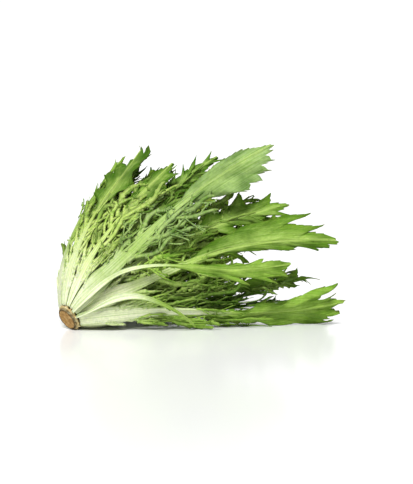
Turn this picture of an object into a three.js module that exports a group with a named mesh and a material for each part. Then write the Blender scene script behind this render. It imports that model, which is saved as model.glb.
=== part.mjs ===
// A cut head of curly endive lying on its side: a short stem with a cut face, and leaves that grow
// from it in whorls, the longest and widest outside and the short, pale heart leaves inside.
//
// Every leaf is drawn flat first, with x across it and s along its midrib. The flat leaf is then laid
// on one of a set of nested bowl-shaped shells round the head's axis, so that no leaf meets another,
// and the whole head is last sagged by its weight and pressed flat where it lies on the table.
// Millimetres, +Z up. +X runs from the cut stem to the leaf tips.
import * as THREE from "three";

const degrees = THREE.MathUtils.degToRad;

// ---- The head as a whole ------------------------------------------------------------------------
const HEAD_TILT = degrees(28); // the head's axis above the table
const STEM_HEIGHT = 15; // the centre of the cut face above the table, before the head settles
const FULL_REACH = 296; // the distance from the stem at which the head is fully sagged

// ---- The stem -----------------------------------------------------------------------------------
const CUT_RADIUS = 11;
const COLLAR = { radius: 12.6, from: 2, to: 4.2 }; // the scars of leaves that were pulled off
const CONE = { radius: 10.6, height: 26.5, blunt: 1.3 }; // what the leaves grow from
const CONE_RINGS = [0.85, 0.63, 0.41, 0.22]; // shares of its radius
const STEM_SIDES = 24;

// ---- The nested shells --------------------------------------------------------------------------
// A shell's depth runs from 0, the outer leaves, towards 1, the axis.
const SPREAD = { atStem: degrees(56), farOut: degrees(29), settlesOver: 50 }; // from the axis
const SPREAD_CLOSING = 0.85; // how quickly the spread falls from shell to shell
const FOOT_RADIUS = [12.9, 5.6]; // where the shells of depth 0 and 1 leave the stem
const FOOT_HEIGHT = [3.4, 25.0];
const SHELL_ROOM = { foot: 3.2, perMillimetre: 0.075, until: 190 }; // between neighbouring whorls

// ---- How the head sags and lies -----------------------------------------------------------------
const SAG = 0.44; // radians that a level leaf of full length swings down at its tip
const TOP_CLOSING = 0.25; // share by which the upper leaves bend back towards the axis
const SPLAY = 0.22; // share by which the table pushes the lower leaves out sideways
const BOX_POWER = [2, 5]; // the cross-section's shape on the table: 2 is round, more is boxed
const GROWS_BY = { closing: 1.6, splay: 1.3, boxing: 1.5 }; // each is full at a reach of 1 over this
const SPLAY_FADES = { level: 0.5, upwards: 1.2 }; // from the widest height of the head up to its top
const BOWL = { wider: 28, over: 30 }; // the outer leaves' shell widens early, just beyond the stem
const PRESSED_FROM = 11; // distance up the axis where the table starts to press on the leaves
const PRESSED_OVER = 35;
const TABLE_CLEARANCE = 3.4; // least height of a leaf's middle surface over the table
const FLAT_SPOT = 4; // nothing lies lower than this before the head is put on the table
const PRESSED_HEIGHT = 4.72; // a leaf whose middle surface would be lower is pressed flat at this height
const SECTOR_GAP = [0.5, 1.3]; // a leaf stays this far inside its sector, at its foot and further out
const WIDEST_SECTOR = degrees(34);
const NARROWEST = 0.7; // a leaf keeps this half width in a crowd

// ---- The whorls, from the outside in ------------------------------------------------------------
// A leaf is given as the path of its midrib, its length and, where it is crowded, the shares of a full
// width that its foot and its blade have. The path is the midrib's angle round the axis, in degrees,
// at four distances from the stem. At 0 a leaf is level on the near side, and at 90 it is on top.
const PATH_AT = [0, 60, 150, 290];
const WHORLS = [
  {
    name: "lowest", depth: -0.12, size: 0.72,
    leaves: [[[12, 10, -56, -60], 122, 0.4, 0.7], [[36, 34, 8, 14], 196, 0.5]],
  },
  {
    name: "outer", depth: 0.0, size: 1,
    leaves: [
      [[-146, -144, -140, -142], 232], [[-6, -14, -20, -2], 230], [[46, 42, 46, 46], 257],
      [[67, 69, 69, 63], 186, 0.6], [[92, 94, 95, 84], 194, 0.8], [[127, 121, 114, 98], 182],
      [[172, 172, 168, 170], 214],
    ],
  },
  {
    name: "under", depth: 0.15, size: 1,
    leaves: [
      [[-162, -164, -162, -158], 214], [[-112, -110, -112, -116], 236], [[-66, -66, -68, -68], 236],
      [[-24, -26, -34, -38], 206], [[22, 13, 12, 5], 241], [[56, 57, 60, 50], 212],
      [[106, 106, 102, 92], 186], [[152, 150, 148, 150], 196],
    ],
  },
  {
    name: "middle", depth: 0.31, size: 0.86,
    leaves: [
      [[-138, -140, -142, -140], 200], [[-80, -78, -82, -84], 214], [[-12, -14, -24, -26], 226],
      [[36, 32, 24, 18], 222], [[92, 94, 98, 92], 176], [[158, 160, 156, 158], 184],
    ],
  },
  {
    name: "inner", depth: 0.47, size: 0.74,
    leaves: [
      [[-130, -128, -132, -134], 180], [[-58, -60, -62, -60], 194], [[6, 8, 12, 10], 208],
      [[72, 70, 66, 64], 186], [[142, 144, 148, 146], 168],
    ],
  },
  {
    name: "heart", depth: 0.63, size: 0.6,
    leaves: [
      [[-126, -124, -122, -120], 158], [[-38, -36, -34, -36], 174], [[50, 48, 46, 50], 180],
      [[138, 140, 142, 138], 154],
    ],
  },
  {
    name: "bud", depth: 0.79, size: 0.46,
    leaves: [[[-120, -118, -116, -118], 136], [[0, 2, 6, 4], 148], [[120, 118, 116, 120], 132]],
  },
];

// ---- One leaf -----------------------------------------------------------------------------------
const RIB_HALF_WIDTH = { foot: 4.3, widest: 7.6, tip: 1.1, taper: 1.7 };
const RIB_BULGE = { foot: 1.5, widest: 2.3, tip: 0.5, taper: 1.3 }; // how far it stands out at the back
const RIB_WIDEST_AT = 46;
const RIB_COLUMNS = [-1, -0.36, 0.36, 1]; // across the rib, as shares of its half width
const BARE_ROWS = [0, 0.07, 0.135]; // along the rib below the first lobe, as shares of its length
const RIB_ENDS_AT = 0.88;
const BLADE_HALF_THICKNESS = 0.45;

const LOBE_SPACING = 26; // millimetres of leaf for each pair of lobes
const FIRST_LOBE_AT = 0.2; // share of the leaf's length where the cut lobes begin
const LOBE_ANGLE = { low: 52, high: 20, varies: 7 }; // degrees between a lobe and the rib
const LOBE_LENGTH = { low: 34, middle: 48, high: 27, middleAt: 0.55, varies: 0.3 };
const LOBE_STRIP = 0.3; // a free lobe's width as a share of its root
const LOBE_CUTS = [[0.3, 0.85, 1.0], [0.56, 0.75, 1.5], [0.8, 0.9, 0.35]]; // place, one side, the other
const LOBE_WAVE = { share: 0.34, perLobe: 2.2, perLeaf: 1.7 }; // of the room between the whorls
const RIB_OUTWARD = 0.1; // share of that room by which the rib stands out from its lobes
const BLADE = { startsAt: 0.56, over: 0.12, joined: 0.74 }; // where and how far the lobes run together
const JOIN = { step: 0.3, most: 2 }; // rows of shared points along a joined edge
const TIP_CENTRE = { at: 0.45, bulge: 0.3 }; // between the rib's end and the leaf's tip

const mix = (a, b, t) => a + (b - a) * t;
const clamp01 = (t) => Math.min(1, Math.max(0, t));
const smooth = (t) => clamp01(t) ** 2 * (3 - 2 * clamp01(t));

// A repeatable number from 0 to 1 for each pair of whole numbers.
function draw(a, b) {
  const wave = Math.sin(a * 12.9898 + b * 78.233 + 4.1) * 43758.5453;
  return wave - Math.floor(wave);
}

// The curve of one shell in the plane through the axis: radius, height and angle at each millimetre.
function shellCurve(depth) {
  const openness = (1 - depth) ** SPREAD_CLOSING;
  const angleAt = (s) =>
    openness * mix(SPREAD.farOut, SPREAD.atStem, Math.exp(-s / SPREAD.settlesOver));
  const points = [
    { r: mix(...FOOT_RADIUS, depth), h: mix(...FOOT_HEIGHT, depth), angle: angleAt(0) },
  ];
  for (let s = 1; s <= FULL_REACH + 60; s++) {
    const last = points[s - 1];
    const middle = angleAt(s - 0.5);
    points.push({ r: last.r + Math.sin(middle), h: last.h + Math.cos(middle), angle: angleAt(s) });
  }
  return (s) => {
    const at = Math.min(Math.max(s, 0), points.length - 1.001);
    const low = points[Math.floor(at)];
    const high = points[Math.floor(at) + 1];
    const share = at - Math.floor(at);
    return {
      r: mix(low.r, high.r, share),
      h: mix(low.h, high.h, share),
      angle: mix(low.angle, high.angle, share),
    };
  };
}

// Room between one whorl's shell and the next, which is what a leaf's waves may use.
const roomAt = (s) => SHELL_ROOM.foot + SHELL_ROOM.perMillimetre * Math.min(s, SHELL_ROOM.until);

const AXIS = new THREE.Vector3(Math.cos(HEAD_TILT), 0, Math.sin(HEAD_TILT));
const NEAR = new THREE.Vector3(0, -1, 0);
const UP = new THREE.Vector3(-Math.sin(HEAD_TILT), 0, Math.cos(HEAD_TILT));

// The radius of the outer leaves' shell at a height up the axis, near enough for the table's press.
const outerRadius = (h) =>
  FOOT_RADIUS[0] + Math.tan(SPREAD.farOut) * h + BOWL.wider * (1 - Math.exp(-h / BOWL.over));

// Puts a point given round the axis where it lies in the head on the table.
function place(r, h, round) {
  const height = Math.max(h, 0);
  const far = Math.hypot(Math.max(r - FOOT_RADIUS[0], 0), height) / FULL_REACH;
  const turned = round - SAG * far ** 1.5 * Math.cos(round);
  const across = Math.abs(Math.cos(turned));
  const above = Math.sin(turned);
  let share = 1 - TOP_CLOSING * Math.max(above, 0) * smooth(far * GROWS_BY.closing);
  const lowness = smooth(SPLAY_FADES.level - SPLAY_FADES.upwards * above);
  share *= 1 + SPLAY * across * lowness * smooth(far * GROWS_BY.splay);
  if (above < 0) {
    // On the table the round cross-section turns to a box: a flat underside and upright sides.
    const room = STEM_HEIGHT - TABLE_CLEARANCE + height * Math.sin(HEAD_TILT);
    const reach = (outerRadius(height) * share * Math.cos(HEAD_TILT)) / room;
    const flattened = mix(1, Math.max(reach, 1), smooth((height - PRESSED_FROM) / PRESSED_OVER));
    const power = mix(...BOX_POWER, smooth(far * GROWS_BY.boxing));
    share *= (across ** power + (-above * flattened) ** power) ** (-1 / power);
  }
  return new THREE.Vector3(0, 0, STEM_HEIGHT)
    .addScaledVector(AXIS, h)
    .addScaledVector(NEAR, r * share * Math.cos(turned))
    .addScaledVector(UP, r * share * Math.sin(turned));
}

// The angle round the axis of a leaf's midrib at a distance from the stem, on a smooth curve
// through the four given ones.
function midribAt(leaf, s) {
  const at = Math.min(Math.max(s, 0), PATH_AT[3] - 1e-6);
  const i = PATH_AT.findIndex((start, k) => at < PATH_AT[k + 1]);
  const span = PATH_AT[i + 1] - PATH_AT[i];
  const t = (at - PATH_AT[i]) / span;
  const slopeAt = (k) => {
    const [a, b] = [Math.max(k - 1, 0), Math.min(k + 1, 3)];
    return (leaf.path[b] - leaf.path[a]) / (PATH_AT[b] - PATH_AT[a]);
  };
  const between = mix(leaf.path[i], leaf.path[i + 1], smooth(t));
  const leaving = span * slopeAt(i) * t * (1 - t) ** 2;
  const arriving = span * slopeAt(i + 1) * t * t * (t - 1);
  return degrees(between + leaving + arriving);
}

// Lays a point of a flat leaf, x across and s along, lifted off its shell towards the axis. A leaf
// keeps to its own sector of the whorl, whose borders lie between it and its neighbours.
function lay(leaf, x, s, lift) {
  const { r, h, angle } = leaf.curve(s);
  const round = midribAt(leaf, s);
  const next = x < 0 ? leaf.before : leaf.after;
  const claim = (one) => one.foot + s / 60;
  const apart = Math.abs(midribAt(next.leaf, s) + next.lap - round);
  const own = (apart * claim(leaf)) / (claim(leaf) + claim(next.leaf));
  const gap = mix(...SECTOR_GAP, smooth(s / 40));
  const room = Math.max(Math.min(own, WIDEST_SECTOR) * r - gap, NARROWEST);
  const kept = x / (1 + (Math.abs(x) / room) ** 6) ** (1 / 6);
  return place(r - lift * Math.cos(angle), h + lift * Math.sin(angle), round + kept / r);
}

// How a measure of the rib grows from its foot to its widest place and tapers to its tip.
function alongRib(leaf, s, { foot, widest, tip, taper }) {
  if (s < RIB_WIDEST_AT) return leaf.size * mix(foot, widest, smooth(s / RIB_WIDEST_AT));
  const left = 1 - (s - RIB_WIDEST_AT) / (leaf.length - RIB_WIDEST_AT);
  return leaf.size * mix(tip, widest, left ** taper);
}

const ribHalfWidth = (leaf, s) =>
  alongRib(leaf, s, RIB_HALF_WIDTH) * mix(leaf.foot, 1, smooth(s / 90));

// The flat leaf as a sheet of points and triangles. Lobes stand on the rib's two edges between the
// same rows. Neighbours share the points of the edge between them as far as they are joined.
function flatLeaf(leaf) {
  const points = [];
  const faces = [];
  const add = (x, s, lift = 0, bulge = 0) => points.push({ x, s, lift, bulge }) - 1;
  const strip = (a, b, c, d) => faces.push([a, b, c], [a, c, d]);

  const rows = BARE_ROWS.map((share) => share * leaf.length);
  const firstLobeRow = rows.length;
  for (let i = 0; i <= leaf.lobes; i++)
    rows.push(mix(FIRST_LOBE_AT, RIB_ENDS_AT, i / leaf.lobes) * leaf.length);

  const lastColumn = RIB_COLUMNS.length - 1;
  const rib = rows.map((s) => {
    const half = ribHalfWidth(leaf, s);
    const bulge = alongRib(leaf, s, RIB_BULGE);
    return RIB_COLUMNS.map((c) =>
      add(c * half, s, -RIB_OUTWARD * roomAt(s), Math.abs(c) < 1 ? bulge : 0));
  });
  for (let i = 0; i + 1 < rib.length; i++)
    for (let c = 0; c < lastColumn; c++)
      strip(rib[i][c], rib[i][c + 1], rib[i + 1][c + 1], rib[i + 1][c]);

  const along = (edge, t) => ({
    x: points[edge.root].x + edge.side * Math.sin(edge.angle) * edge.length * t,
    s: edge.s + Math.cos(edge.angle) * edge.length * t,
  });
  const liftOf = (s, t, wave) =>
    roomAt(s) * (LOBE_WAVE.share * t * wave * leaf.size - RIB_OUTWARD * (1 - t));

  const ends = [-1, 1].map((side) => {
    const edges = rows.slice(firstLobeRow).map((s, i) => lobeEdge(side, i, s));
    for (let i = 0; i < leaf.lobes; i++) addLobe(edges[i], edges[i + 1], leaf.number * 40 + i);
    return edges[leaf.lobes];
  });
  addTip(...ends);

  // The edge between two lobes, which leaves the rib at an angle. Its joined part is a row of points
  // that the lobes on its two sides share.
  function lobeEdge(side, i, s) {
    const up = i / leaf.lobes;
    const number = leaf.number * 40 + side * 17 + i;
    const length = up < LOBE_LENGTH.middleAt
      ? mix(LOBE_LENGTH.low, LOBE_LENGTH.middle, smooth(up / LOBE_LENGTH.middleAt))
      : mix(LOBE_LENGTH.high, LOBE_LENGTH.middle, smooth((1 - up) / (1 - LOBE_LENGTH.middleAt)));
    const angle = mix(LOBE_ANGLE.low, LOBE_ANGLE.high, up ** 0.8)
      + LOBE_ANGLE.varies * (draw(number, 1) - 0.5);
    const edge = {
      side,
      root: rib[firstLobeRow + i][side < 0 ? 0 : lastColumn],
      s,
      angle: degrees(angle),
      length: length * leaf.size * (1 + LOBE_LENGTH.varies * (draw(number, 2) - 0.5)),
      wave: Math.sin(i * LOBE_WAVE.perLobe + side + leaf.number * LOBE_WAVE.perLeaf),
      joined: BLADE.joined * smooth((s / leaf.length - BLADE.startsAt) / BLADE.over),
    };
    edge.shared = [edge.root];
    const steps = Math.min(Math.round(edge.joined / JOIN.step), JOIN.most);
    for (let k = 1; k <= steps; k++) {
      const t = (edge.joined * k) / steps;
      const p = along(edge, t);
      edge.shared.push(add(p.x, p.s, liftOf(p.s, t, edge.wave)));
    }
    return edge;
  }

  // One lobe between two edges: joined up to the shorter join, then free and narrowing to a point.
  function addLobe(low, high, number) {
    const onRight = low.side > 0;
    const quad = (a, b, c, d) => (onRight ? strip(a, d, c, b) : strip(a, b, c, d));
    const triangle = (a, b, c) => faces.push(onRight ? [a, c, b] : [a, b, c]);
    const steps = Math.min(low.shared.length, high.shared.length);
    let [a, b] = [low.shared[steps - 1], high.shared[steps - 1]];
    for (let k = 0; k + 1 < steps; k++)
      quad(low.shared[k], high.shared[k], high.shared[k + 1], low.shared[k + 1]);
    for (const next of low.shared.slice(steps)) {
      triangle(a, b, next);
      a = next;
    }
    for (const next of high.shared.slice(steps)) {
      triangle(a, b, next);
      b = next;
    }
    const start = Math.max(low.joined, high.joined);
    const wave = mix(low.wave, high.wave, 0.5);
    const flipped = draw(number, low.side + 3) < 0.5;
    for (const [share, one, other] of start > 0.3 ? [] : LOBE_CUTS) {
      const t = mix(start, 1, share);
      const [p, q] = [along(low, t), along(high, t)];
      const between = (towards) => {
        const place = 0.5 + 0.5 * LOBE_STRIP * towards;
        return add(mix(p.x, q.x, place), mix(p.s, q.s, place), liftOf(mix(p.s, q.s, 0.5), t, wave));
      };
      const lower = between(flipped ? -one : -other);
      const upper = between(flipped ? other : one);
      quad(a, b, upper, lower);
      [a, b] = [lower, upper];
    }
    const [p, q] = [along(low, 1), along(high, 1)];
    const s = mix(p.s, q.s, 0.5);
    triangle(a, b, add(mix(p.x, q.x, 0.5), s, liftOf(s, 1, wave)));
  }

  // The last lobe runs straight on from the rib's end, joined to the ones beside it.
  function addTip(left, right) {
    const end = rib[rib.length - 1];
    const [nearLeft, farLeft] = left.shared.slice(1);
    const [nearRight, farRight] = right.shared.slice(1);
    const centre = add(0, mix(RIB_ENDS_AT, 1, TIP_CENTRE.at) * leaf.length, 0, TIP_CENTRE.bulge);
    const tip = add(0, leaf.length, 0);
    faces.push([end[0], end[1], nearLeft], [end[1], centre, nearLeft], [end[1], end[2], centre]);
    faces.push([end[2], end[3], nearRight], [end[2], nearRight, centre]);
    faces.push([nearLeft, centre, farLeft], [farLeft, centre, tip]);
    faces.push([centre, nearRight, farRight], [centre, farRight, tip]);
  }
  return { points, faces };
}

// A leaf's solid: its sheet laid in the head and given its thickness, the rib bulging at the back.
function leafGeometry(leaf) {
  const { points, faces } = flatLeaf(leaf);
  const middle = points.map((p) => lay(leaf, p.x, p.s, p.lift));
  const pressed = middle.map((p) => p.z <= PRESSED_HEIGHT);
  for (const p of middle) p.z = Math.max(p.z, PRESSED_HEIGHT);
  const normals = points.map(() => new THREE.Vector3());
  for (const [a, b, c] of faces) {
    const across = middle[b].clone().sub(middle[a]);
    const face = across.cross(middle[c].clone().sub(middle[a]));
    for (const i of [a, b, c]) normals[i].add(face);
  }
  normals.forEach((n, i) => (pressed[i] ? n.set(0, 0, Math.sign(n.z)) : n.normalize()));
  const back = middle.map((p, i) =>
    p.clone().addScaledVector(normals[i], BLADE_HALF_THICKNESS + (pressed[i] ? 0 : points[i].bulge)));
  const front = middle.map((p, i) => p.clone().addScaledVector(normals[i], -BLADE_HALF_THICKNESS));
  const solid = [...back, ...front];
  for (const p of solid) p.z = Math.max(p.z, FLAT_SPOT);

  const count = points.length;
  const index = faces.flat();
  for (const [a, b, c] of faces) index.push(c + count, b + count, a + count);
  const used = new Set(faces.flatMap(([a, b, c]) => [`${a} ${b}`, `${b} ${c}`, `${c} ${a}`]));
  for (const pair of used) {
    const [a, b] = pair.split(" ").map(Number);
    if (!used.has(`${b} ${a}`)) index.push(b, a, a + count, b, a + count, b + count);
  }
  const geometry = new THREE.BufferGeometry();
  geometry.setAttribute("position",
    new THREE.Float32BufferAttribute(solid.flatMap((p) => p.toArray()), 3));
  geometry.setIndex(index);
  geometry.computeVertexNormals();
  return geometry;
}

// The stem: a cut face, a collar of leaf scars, and the cone that the leaves grow from.
function stemMesh() {
  const profile = [
    [0, 0.4], [CUT_RADIUS - 3.5, 0.2], [CUT_RADIUS - 0.8, 0], [CUT_RADIUS, 0.7],
    [CUT_RADIUS, COLLAR.from], [COLLAR.radius - 0.2, COLLAR.from + 0.3], [COLLAR.radius, 3],
    [CONE.radius, COLLAR.to],
  ];
  for (const left of CONE_RINGS)
    profile.push([CONE.radius * left, mix(CONE.height, COLLAR.to, left ** CONE.blunt)]);
  profile.push([0, CONE.height]);
  const points = profile.map(([r, h]) => new THREE.Vector2(r, h));
  const geometry = new THREE.LatheGeometry(points, STEM_SIDES);
  const material = new THREE.MeshStandardMaterial({ color: 0xc98f4e, roughness: 0.8, metalness: 0 });
  const mesh = new THREE.Mesh(geometry, material);
  mesh.name = "stem";
  mesh.position.set(0, 0, STEM_HEIGHT);
  mesh.quaternion.setFromUnitVectors(new THREE.Vector3(0, 1, 0), AXIS);
  return mesh;
}

function leafMaterial(depth) {
  const color = new THREE.Color(0x7fae45).lerp(new THREE.Color(0xdfe89a), depth);
  return new THREE.MeshStandardMaterial({ color, roughness: 0.55, metalness: 0, side: THREE.DoubleSide });
}

function buildHead() {
  const head = new THREE.Group();
  head.add(stemMesh());
  let number = 0;
  for (const whorl of WHORLS) {
    const material = leafMaterial(whorl.depth);
    const curve = shellCurve(whorl.depth);
    const leaves = whorl.leaves.map(([path, length, foot = 1, size = 1]) => ({
      number: ++number,
      path,
      length,
      foot,
      lobes: Math.round(length / LOBE_SPACING),
      size: whorl.size * size,
      curve,
    }));
    // The leaves are listed from the lowest angle up, and the ends of the list are neighbours too.
    leaves.forEach((leaf, i) => {
      const last = leaves.length - 1;
      leaf.before = { leaf: leaves.at(i - 1), lap: i > 0 ? 0 : -2 * Math.PI };
      leaf.after = { leaf: leaves[i < last ? i + 1 : 0], lap: i < last ? 0 : 2 * Math.PI };
    });
    leaves.forEach((leaf, i) => {
      const mesh = new THREE.Mesh(leafGeometry(leaf), material);
      mesh.name = `${whorl.name}_leaf_${i + 1}`;
      head.add(mesh);
    });
  }
  return head;
}

// The origin is on the table, under the middle of the head's bounding box.
const head = buildHead();
head.updateMatrixWorld(true);
const box = new THREE.Box3().setFromObject(head, true);
const middle = box.getCenter(new THREE.Vector3());
head.position.set(-middle.x, -middle.y, -box.min.z);

export default head;
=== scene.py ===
"""A cut head of curly endive lying on its side, leaf by leaf, on a white table."""
import math

import bpy
import numpy as np
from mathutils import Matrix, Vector


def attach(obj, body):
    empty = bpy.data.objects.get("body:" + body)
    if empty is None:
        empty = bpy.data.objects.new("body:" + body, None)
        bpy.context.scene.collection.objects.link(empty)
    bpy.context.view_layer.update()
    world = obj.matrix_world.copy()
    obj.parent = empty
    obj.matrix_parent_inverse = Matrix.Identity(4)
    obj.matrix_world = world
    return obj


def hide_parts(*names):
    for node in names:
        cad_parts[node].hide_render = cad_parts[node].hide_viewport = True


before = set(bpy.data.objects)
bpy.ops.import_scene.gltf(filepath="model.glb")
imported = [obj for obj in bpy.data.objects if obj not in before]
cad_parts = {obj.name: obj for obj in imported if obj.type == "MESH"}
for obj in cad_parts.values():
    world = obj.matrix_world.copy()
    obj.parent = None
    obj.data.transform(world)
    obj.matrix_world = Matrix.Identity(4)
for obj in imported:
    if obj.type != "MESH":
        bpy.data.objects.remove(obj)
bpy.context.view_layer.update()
bpy.ops.object.select_all(action="DESELECT")

# ---- The stem -----------------------------------------------------------------------------------
# The stump of the root crown, cut straight across with a knife. The cut has dried to a tan disc
# with a darker skin, and behind it stands a ragged collar where outer leaves were pulled off.
HEAD_AT = np.array([-114.327, 3.757, -4.27])  # the head's own zero, in millimetres of the frame
HEAD_TILT = math.radians(28)
STEM_HEIGHT = 15.0
AXIS = np.array([math.cos(HEAD_TILT), 0.0, math.sin(HEAD_TILT)])
NEAR = np.array([0.0, -1.0, 0.0])
UP = np.array([-math.sin(HEAD_TILT), 0.0, math.cos(HEAD_TILT)])
MILLIMETRE = 0.001


def to_frame(points):
    """Points of the head in millimetres, as points of the frame in metres."""
    return (np.asarray(points) + HEAD_AT) * MILLIMETRE


def new_finish(name):
    """A material whose nodes are still to come, with its shader."""
    material = bpy.data.materials.new(name)
    material.use_nodes = True
    return material, material.node_tree.nodes["Principled BSDF"]


MIX_INPUTS = (0, 6, 7)  # of a colour mix: the factor and the two colours


def set_inputs(material, node, inputs):
    """Sets a node's inputs to numbers and colours, or joins them to other sockets."""
    for key, value in inputs.items():
        if isinstance(value, bpy.types.NodeSocket):
            material.node_tree.links.new(value, node.inputs[key])
        else:
            node.inputs[key].default_value = value


def add_node(material, kind, inputs=None, **settings):
    """A new node with its settings and inputs."""
    node = material.node_tree.nodes.new(kind)
    for key, value in settings.items():
        setattr(node, key, value)
    set_inputs(material, node, inputs or {})
    return node


def ramp(material, factor, stops):
    """Colours or grey levels placed along a factor from 0 to 1."""
    node = add_node(material, "ShaderNodeValToRGB", {"Fac": factor})
    elements = node.color_ramp.elements
    while len(elements) < len(stops):
        elements.new(0.5)
    for element, (place, colour) in zip(elements, stops):
        element.position = place
        level = colour if isinstance(colour, tuple) else (colour, colour, colour)
        element.color = (*level, 1.0)
    return node.outputs["Color"]


def blended(material, factor, one, other, how="MIX"):
    """Two colours, sockets or numbers, mixed by a factor."""
    colours = [(*value, 1.0) if isinstance(value, tuple) else value for value in (one, other)]
    inputs = dict(zip(MIX_INPUTS, (factor, *colours)))
    return add_node(
        material, "ShaderNodeMix", inputs, data_type="RGBA", blend_type=how).outputs[2]


def toned(material, colour, level):
    """A colour made darker or lighter by the levels of a pattern."""
    return blended(material, 1.0, colour, level, "MULTIPLY")


def worked(material, how, one, other=0.0):
    """One step of arithmetic on sockets or numbers."""
    return add_node(material, "ShaderNodeMath", {0: one, 1: other}, operation=how).outputs[0]


def noise(material, place_of, scale, detail):
    """Soft random patches from 0 to 1."""
    inputs = {"Vector": place_of, "Scale": scale, "Detail": detail}
    return add_node(material, "ShaderNodeTexNoise", inputs).outputs["Fac"]


CUT_RADIUS, SKIN_HEIGHT, GROOVE, STEM_SIDES = 10.3, 2.0, 0.7, 72
COLLAR_PROFILE = [(12.3, 2.2), (12.9, 2.9), (12.3, 3.7), (10.4, 4.4)]  # radius, height up the axis
CONE_PROFILE = [(9.2, 8.0), (7.0, 14.0), (4.6, 19.5), (2.4, 23.5), (0.8, 25.8)]
CUT_STEPS = [(0.35, 0.0), (0.2, 0.8), (0.25, 0.0), (0.15, -1.0), (0.5, 0.0)]  # inwards, then along
WOOD_RINGS, WOOD_RING = 6, 1.3
SCAR_ROUNDS, SCAR_SHARE, SCAR_RISE, SCAR_RAGGED = 4, 0.22, 0.55, 0.22
SCARS_OUTSIDE, SCARS_ABOVE = 10.6, 2.05  # the collar, where the scars stand
GRAIN_SIZE, GRAIN_DEPTH = 2.2, 0.7


def pick_faces(piece, wanted):
    """Selects in edit mode just the faces that answer to a test."""
    bpy.ops.object.mode_set(mode="EDIT")
    bpy.ops.mesh.select_mode(type="FACE")
    bpy.ops.mesh.select_all(action="DESELECT")
    bpy.ops.object.mode_set(mode="OBJECT")
    for face in piece.data.polygons:
        face.select = bool(wanted(face))
    bpy.ops.object.mode_set(mode="EDIT")


def pull_ring(radius, height, last_radius, last_height):
    """Extrudes the picked end face up the axis and changes its radius."""
    rise = (0.0, 0.0, (height - last_height) * MILLIMETRE)
    bpy.ops.mesh.extrude_region_move(TRANSFORM_OT_translate={"value": rise})
    wider = radius / last_radius
    bpy.ops.transform.resize(value=(wider, wider, 1.0))


# It is turned upright first, with the cut face down, and laid at its angle when it is done.
bpy.ops.mesh.primitive_cylinder_add(
    vertices=STEM_SIDES, radius=(CUT_RADIUS + GROOVE) * MILLIMETRE, depth=SKIN_HEIGHT * MILLIMETRE,
    location=(0.0, 0.0, 0.5 * SKIN_HEIGHT * MILLIMETRE))
stump = bpy.context.object
stump.name = "stem_stump"
pick_faces(stump, lambda face: face.normal.z > 0.9)
radius, height = CUT_RADIUS + GROOVE, SKIN_HEIGHT
for ring in COLLAR_PROFILE + CONE_PROFILE:
    pull_ring(*ring, radius, height)
    radius, height = ring
# The cut face: a thin edge of skin, a groove behind it, and the wood standing out a little.
pick_faces(stump, lambda face: face.normal.z < -0.9)
for inwards, along in CUT_STEPS:
    bpy.ops.mesh.inset(thickness=inwards * MILLIMETRE)
    if along:
        bpy.ops.transform.translate(value=(0.0, 0.0, along * MILLIMETRE))
for _ in range(WOOD_RINGS):
    bpy.ops.mesh.inset(thickness=WOOD_RING * MILLIMETRE)
bpy.ops.mesh.poke()
# The scars of the pulled leaves stand round the collar as a ragged edge. Each round raises others.
scars = np.random.default_rng(17)
for _ in range(SCAR_ROUNDS):
    chance = scars.uniform(0.0, 1.0, 4 * len(stump.data.polygons))

    def on_collar(face):
        wide = math.hypot(face.center.x, face.center.y) > SCARS_OUTSIDE * MILLIMETRE
        high = face.center.z > SCARS_ABOVE * MILLIMETRE
        return wide and high and chance[face.index] < SCAR_SHARE

    pick_faces(stump, on_collar)
    bpy.ops.mesh.extrude_faces_move(TRANSFORM_OT_shrink_fatten={"value": SCAR_RISE * MILLIMETRE})
    bpy.ops.transform.vertex_random(offset=SCAR_RAGGED * MILLIMETRE, seed=3)
bpy.ops.object.mode_set(mode="OBJECT")
stump.rotation_euler = (0.0, math.pi / 2 - HEAD_TILT, 0.0)
stump.location = Vector(to_frame([0.0, 0.0, STEM_HEIGHT]))
bpy.ops.object.transform_apply(location=True, rotation=True, scale=True)
bpy.ops.object.modifier_add(type="SUBSURF")
stump.modifiers[-1].levels = stump.modifiers[-1].render_levels = 1
bpy.ops.object.modifier_apply(modifier=stump.modifiers[-1].name)
grain = bpy.data.textures.new("stump_grain", "CLOUDS")
grain.noise_scale = GRAIN_SIZE * MILLIMETRE
bpy.ops.object.modifier_add(type="DISPLACE")
stump.modifiers[-1].texture = grain
stump.modifiers[-1].texture_coords = "LOCAL"
stump.modifiers[-1].strength = GRAIN_DEPTH * MILLIMETRE
bpy.ops.object.modifier_apply(modifier=stump.modifiers[-1].name)
bpy.ops.object.shade_smooth_by_angle(angle=math.radians(50))

RIM_AT = 12.5  # where the colours that run out from the middle end
stump_finish, stump_shader = new_finish("cut_stem_finish")
stump_place = add_node(stump_finish, "ShaderNodeTexCoord").outputs["Object"]
upright = add_node(
    stump_finish, "ShaderNodeMapping", {
        "Vector": stump_place, "Location": Vector(to_frame([0.0, 0.0, STEM_HEIGHT])),
        "Rotation": (0.0, math.pi / 2 - HEAD_TILT, 0.0),
    }, vector_type="TEXTURE").outputs[0]
parts = add_node(stump_finish, "ShaderNodeSeparateXYZ", {"Vector": upright})
flat_way = add_node(
    stump_finish, "ShaderNodeCombineXYZ", {"X": parts.outputs["X"], "Y": parts.outputs["Y"]}).outputs[0]
outness = add_node(stump_finish, "ShaderNodeVectorMath", {"Vector": flat_way}, operation="LENGTH").outputs[1]
outness = worked(stump_finish, "DIVIDE", outness, RIM_AT * MILLIMETRE)
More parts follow.
